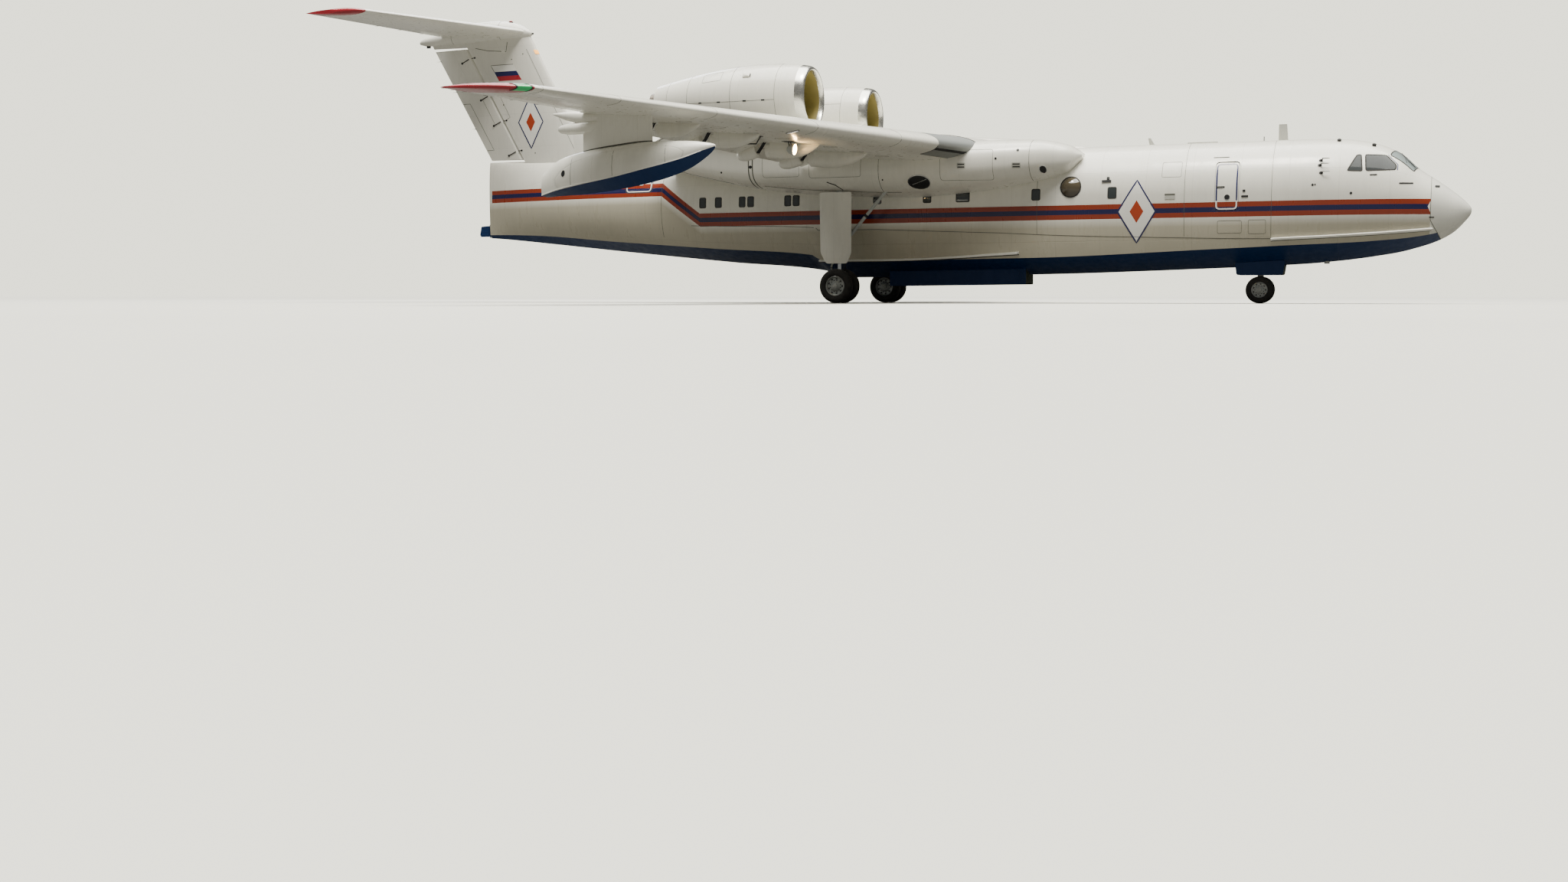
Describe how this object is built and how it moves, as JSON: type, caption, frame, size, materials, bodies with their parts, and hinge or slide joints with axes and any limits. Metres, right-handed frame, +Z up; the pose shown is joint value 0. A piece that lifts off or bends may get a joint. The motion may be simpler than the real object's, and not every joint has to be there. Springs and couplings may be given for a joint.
{
  "type": "twin-jet amphibious flying boat",
  "caption": "Amphibious flying boat with a high swept wing, wing floats, two jet engines over the rear hull, a T-tail and retractable wheels, parked on its gear.",
  "frame": {"origin": "on the ground, below the middle of the bounding box", "axes": "+X forward to the nose, +Y to port, +Z up"},
  "size_m": [32.05, 32.78, 8.9],
  "materials": {
    "white_paint": "gloss white paint on riveted skin",
    "navy_paint": "dark blue hull bottom paint",
    "dark_glass": "dark flight deck glass",
    "fan_metal": "fan blades",
    "hot_metal": "heat-stained exhaust metal",
    "gear_metal": "light grey painted landing gear",
    "tyre": "black tyre rubber"
  },
  "bodies": {
    "airframe": {"windscreen_left": "dark_glass", "windscreen_right": "dark_glass", "side_window_left": "dark_glass", "side_window_right": "dark_glass", "quarter_window_left": "dark_glass", "quarter_window_right": "dark_glass", "wing_left": "white_paint", "wing_right": "white_paint", "gear_fairing_left": "white_paint", "gear_fairing_right": "white_paint", "float_left": "white_paint", "float_right": "white_paint", "float_pylon_left": "white_paint", "float_pylon_right": "white_paint", "engine_pylon_left": "white_paint", "engine_pylon_right": "white_paint", "nacelle_left": "white_paint", "nacelle_right": "white_paint", "engine_left": "hot_metal", "engine_right": "hot_metal", "stabilizer_left": "white_paint", "stabilizer_right": "white_paint", "nose_gear_door_left": "navy_paint", "nose_gear_door_right": "navy_paint", "main_leg_left": "gear_metal", "main_leg_right": "gear_metal", "main_gear_door_left": "white_paint", "main_gear_door_right": "white_paint", "hull_front": "white_paint", "radome": "white_paint", "hull_centre": "white_paint", "hull_rear": "white_paint", "wing_centre_fairing": "white_paint", "fin": "white_paint", "fin_bullet": "white_paint", "nose_leg": "gear_metal"},
    "entry_door_left": {"entry_door_left": "white_paint"},
    "entry_door_right": {"entry_door_right": "white_paint"},
    "water_door_left": {"water_door_left": "navy_paint"},
    "water_door_right": {"water_door_right": "navy_paint"},
    "flap_inner_left": {"flap_inner_left": "white_paint"},
    "flap_inner_right": {"flap_inner_right": "white_paint"},
    "flap_outer_left": {"flap_outer_left": "white_paint"},
    "flap_outer_right": {"flap_outer_right": "white_paint"},
    "aileron_left": {"aileron_left": "white_paint"},
    "aileron_right": {"aileron_right": "white_paint"},
    "elevator_left": {"elevator_left": "white_paint"},
    "elevator_right": {"elevator_right": "white_paint"},
    "fan_left": {"fan_left": "fan_metal"},
    "fan_right": {"fan_right": "fan_metal"},
    "main_wheels_left": {"main_wheels_left": "tyre"},
    "main_wheels_right": {"main_wheels_right": "tyre"},
    "rudder": {"rudder": "white_paint"},
    "water_rudder": {"water_rudder": "navy_paint"},
    "nose_steering": {"nose_steering": "gear_metal"},
    "nose_wheels": {"nose_wheels": "tyre"}
  },
  "joints": [
    {"name": "flap_inner_left_hinge", "type": "hinge", "parent": "airframe", "child": "flap_inner_left", "pos_m": [0.03955, 3.05, 4.21391], "axis": [0.2321, -0.9726, -0.0148], "range_deg": [-20, 18]},
    {"name": "flap_inner_right_hinge", "type": "hinge", "parent": "airframe", "child": "flap_inner_right", "pos_m": [0.03955, -3.05, 4.21391], "axis": [-0.2321, -0.9726, 0.0148], "range_deg": [-20, 18]},
    {"name": "flap_outer_left_hinge", "type": "hinge", "parent": "airframe", "child": "flap_outer_left", "pos_m": [-0.99856, 7.4, 4.27996], "axis": [0.2321, -0.9726, -0.0148], "range_deg": [-20, 18]},
    {"name": "flap_outer_right_hinge", "type": "hinge", "parent": "airframe", "child": "flap_outer_right", "pos_m": [-0.99856, -7.4, 4.27996], "axis": [-0.2321, -0.9726, 0.0148], "range_deg": [-20, 18]},
    {"name": "aileron_left_hinge", "type": "hinge", "parent": "airframe", "child": "aileron_left", "pos_m": [-2.16078, 12.27, 4.3539], "axis": [0.2321, -0.9726, -0.0148], "range_deg": [-20, 20]},
    {"name": "aileron_right_hinge", "type": "hinge", "parent": "airframe", "child": "aileron_right", "pos_m": [-2.16078, -12.27, 4.3539], "axis": [-0.2321, -0.9726, 0.0148], "range_deg": [-20, 20]},
    {"name": "elevator_left_hinge", "type": "hinge", "parent": "airframe", "child": "elevator_left", "pos_m": [-13.81754, 0.62, 8.49444], "axis": [0.3506, -0.9364, -0.0112], "range_deg": [-22, 15]},
    {"name": "elevator_right_hinge", "type": "hinge", "parent": "airframe", "child": "elevator_right", "pos_m": [-13.81754, -0.62, 8.49444], "axis": [-0.3506, -0.9364, 0.0112], "range_deg": [-22, 15]},
    {"name": "rudder_hinge", "type": "hinge", "parent": "airframe", "child": "rudder", "pos_m": [-11.63356, 0, 4.25], "axis": [-0.4925, 0, 0.8703], "range_deg": [-25, 25]},
    {"name": "water_rudder_hinge", "type": "hinge", "parent": "airframe", "child": "water_rudder", "pos_m": [-13.005, 0, 2.275], "axis": [0, 0, 1], "range_deg": [-30, 30]},
    {"name": "entry_door_left_hinge", "type": "hinge", "parent": "airframe", "child": "entry_door_left", "pos_m": [10.165, 1.15817, 3.61919], "axis": [1, 0, 0], "range_deg": [0, 88]},
    {"name": "entry_door_right_hinge", "type": "hinge", "parent": "airframe", "child": "entry_door_right", "pos_m": [10.165, -1.15817, 3.61919], "axis": [-1, 0, 0], "range_deg": [0, 88]},
    {"name": "water_door_left_hinge", "type": "hinge", "parent": "airframe", "child": "water_door_left", "pos_m": [0.7, 0.42, 0.92383], "axis": [1, 0, 0.0088], "range_deg": [-72, 0]},
    {"name": "water_door_right_hinge", "type": "hinge", "parent": "airframe", "child": "water_door_right", "pos_m": [0.7, -0.42, 0.92383], "axis": [-1, 0, -0.0088], "range_deg": [-72, 0]},
    {"name": "nose_steering_pivot", "type": "hinge", "parent": "airframe", "child": "nose_steering", "pos_m": [10.94, 0, 0.36], "axis": [0, 0, 1], "range_deg": [-45, 45]},
    {"name": "nose_wheels_spin", "type": "hinge", "parent": "nose_steering", "child": "nose_wheels", "pos_m": [10.94, 0, 0.36], "axis": [0, 1, 0], "continuous": true},
    {"name": "main_wheels_left_spin", "type": "hinge", "parent": "airframe", "child": "main_wheels_left", "pos_m": [-0.2, 2.15, 0.475], "axis": [0, 1, 0], "continuous": true},
    {"name": "main_wheels_right_spin", "type": "hinge", "parent": "airframe", "child": "main_wheels_right", "pos_m": [-0.2, -2.15, 0.475], "axis": [0, 1, 0], "continuous": true},
    {"name": "fan_left_spin", "type": "hinge", "parent": "airframe", "child": "fan_left", "pos_m": [-1.95, 2.6, 5.66], "axis": [1, 0, 0], "continuous": true},
    {"name": "fan_right_spin", "type": "hinge", "parent": "airframe", "child": "fan_right", "pos_m": [-1.95, -2.6, 5.66], "axis": [1, 0, 0], "continuous": true}
  ],
  "couplings": [
    {"joint": "flap_inner_right_hinge", "follows": "flap_inner_left_hinge", "ratio": 1},
    {"joint": "flap_outer_left_hinge", "follows": "flap_inner_left_hinge", "ratio": 1},
    {"joint": "flap_outer_right_hinge", "follows": "flap_inner_left_hinge", "ratio": 1},
    {"joint": "aileron_right_hinge", "follows": "aileron_left_hinge", "ratio": -1},
    {"joint": "elevator_right_hinge", "follows": "elevator_left_hinge", "ratio": 1},
    {"joint": "water_door_right_hinge", "follows": "water_door_left_hinge", "ratio": 1}
  ]
}
